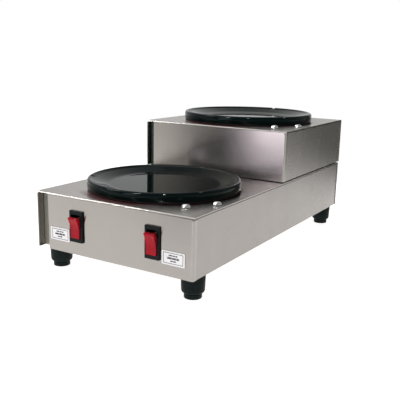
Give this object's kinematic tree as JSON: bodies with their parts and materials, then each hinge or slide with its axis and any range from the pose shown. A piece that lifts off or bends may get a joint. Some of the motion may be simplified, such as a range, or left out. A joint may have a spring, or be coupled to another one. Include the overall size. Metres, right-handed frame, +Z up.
{
  "type": "two-tier coffee decanter warmer",
  "caption": "Step-up stainless decanter warmer with a low front and a raised rear round enamel warming plate, front rocker switches, and levelling feet.",
  "frame": {"origin": "on the worktop, at the middle of the overall bounding box's underside", "axes": "+X to the warmer's right side, front with the switches facing -Y, +Z up"},
  "size_m": [0.2032, 0.4108, 0.1618],
  "materials": {
    "stainless": "satin brushed stainless sheet, slightly warm grey",
    "black_enamel": "glossy black vitreous enamel",
    "red_silicone": "matt dark red silicone",
    "mica": "matt mica and ceramic element",
    "mineral_wool": "pressed mineral wool",
    "plated_steel": "dull zinc-plated sheet",
    "chrome": "polished",
    "black_nylon": "moulded black nylon",
    "white_nylon": "moulded natural nylon",
    "red_rocker": "translucent glossy red",
    "brass": "plated brass strip",
    "lamp_glass": "clear orange tinted glass",
    "label_white": "satin white label",
    "black_rubber": "matt black rubber",
    "phenolic": "moulded phenolic",
    "wire_insulation": "high-temperature braided sleeve"
  },
  "bodies": {
    "cabinet": {"base_pan": "stainless", "lower_housing": "stainless", "lower_left_panel": "stainless", "lower_right_panel": "stainless", "lower_corner_channel": "stainless", "upper_housing": "stainless", "upper_left_panel": "stainless", "upper_right_panel": "stainless", "upper_corner_channel": "stainless", "lower_warmer_plate": "black_enamel", "upper_warmer_plate": "black_enamel", "lower_plate_gasket": "red_silicone", "upper_plate_gasket": "red_silicone", "lower_heating_element": "mica", "upper_heating_element": "mica", "lower_insulation": "mineral_wool", "upper_insulation": "mineral_wool", "lower_retainer_cup": "plated_steel", "upper_retainer_cup": "plated_steel", "lower_plate_nut": "plated_steel", "upper_plate_nut": "plated_steel", "earth_screw": "plated_steel", "lower_dome_screw_1": "chrome", "lower_dome_screw_2": "chrome", "upper_dome_screw_1": "chrome", "upper_dome_screw_2": "chrome", "left_switch_body": "black_nylon", "right_switch_body": "black_nylon", "cord_bushing": "black_nylon", "left_line_terminal": "brass", "left_load_terminal": "brass", "right_line_terminal": "brass", "right_load_terminal": "brass", "left_lamp": "lamp_glass", "right_lamp": "lamp_glass", "left_label": "label_white", "right_label": "label_white", "foot_collar_front_left": "black_rubber", "foot_collar_front_right": "black_rubber", "foot_collar_rear_left": "black_rubber", "foot_collar_rear_right": "black_rubber", "riser_grommet": "black_rubber", "terminal_block": "phenolic", "left_supply_wire": "wire_insulation", "right_supply_wire": "wire_insulation", "upper_load_wire": "wire_insulation", "lower_load_wire": "wire_insulation", "lower_neutral_wire": "wire_insulation", "upper_neutral_wire": "wire_insulation"},
    "left_rocker": {"left_rocker": "red_rocker", "left_plunger": "white_nylon"},
    "left_contact_arm": {"left_contact_arm": "brass"},
    "right_rocker": {"right_rocker": "red_rocker", "right_plunger": "white_nylon"},
    "right_contact_arm": {"right_contact_arm": "brass"},
    "foot_pad_front_left": {"foot_pad_front_left": "black_rubber"},
    "foot_pad_front_right": {"foot_pad_front_right": "black_rubber"},
    "foot_pad_rear_left": {"foot_pad_rear_left": "black_rubber"},
    "foot_pad_rear_right": {"foot_pad_rear_right": "black_rubber"}
  },
  "joints": [
    {"name": "left_rocker_pivot", "type": "hinge", "parent": "cabinet", "child": "left_rocker", "pos_m": [-0.0438, -0.19705, 0.0565], "axis": [-1, 0, 0], "range_deg": [0, 22]},
    {"name": "left_contact_rock", "type": "hinge", "parent": "cabinet", "child": "left_contact_arm", "pos_m": [-0.0438, -0.1863, 0.0565], "axis": [1, 0, 0], "range_deg": [0, 12]},
    {"name": "right_rocker_pivot", "type": "hinge", "parent": "cabinet", "child": "right_rocker", "pos_m": [0.0544, -0.19705, 0.0565], "axis": [-1, 0, 0], "range_deg": [0, 22]},
    {"name": "right_contact_rock", "type": "hinge", "parent": "cabinet", "child": "right_contact_arm", "pos_m": [0.0544, -0.1863, 0.0565], "axis": [1, 0, 0], "range_deg": [0, 12]},
    {"name": "front_left_foot_screw", "type": "slide", "parent": "cabinet", "child": "foot_pad_front_left", "axis": [0, 0, -1], "range_m": [0, 0.006]},
    {"name": "front_right_foot_screw", "type": "slide", "parent": "cabinet", "child": "foot_pad_front_right", "axis": [0, 0, -1], "range_m": [0, 0.006]},
    {"name": "rear_left_foot_screw", "type": "slide", "parent": "cabinet", "child": "foot_pad_rear_left", "axis": [0, 0, -1], "range_m": [0, 0.006]},
    {"name": "rear_right_foot_screw", "type": "slide", "parent": "cabinet", "child": "foot_pad_rear_right", "axis": [0, 0, -1], "range_m": [0, 0.006]}
  ],
  "couplings": [
    {"joint": "left_contact_rock", "follows": "left_rocker_pivot", "ratio": 0.5454},
    {"joint": "right_contact_rock", "follows": "right_rocker_pivot", "ratio": 0.5454}
  ]
}
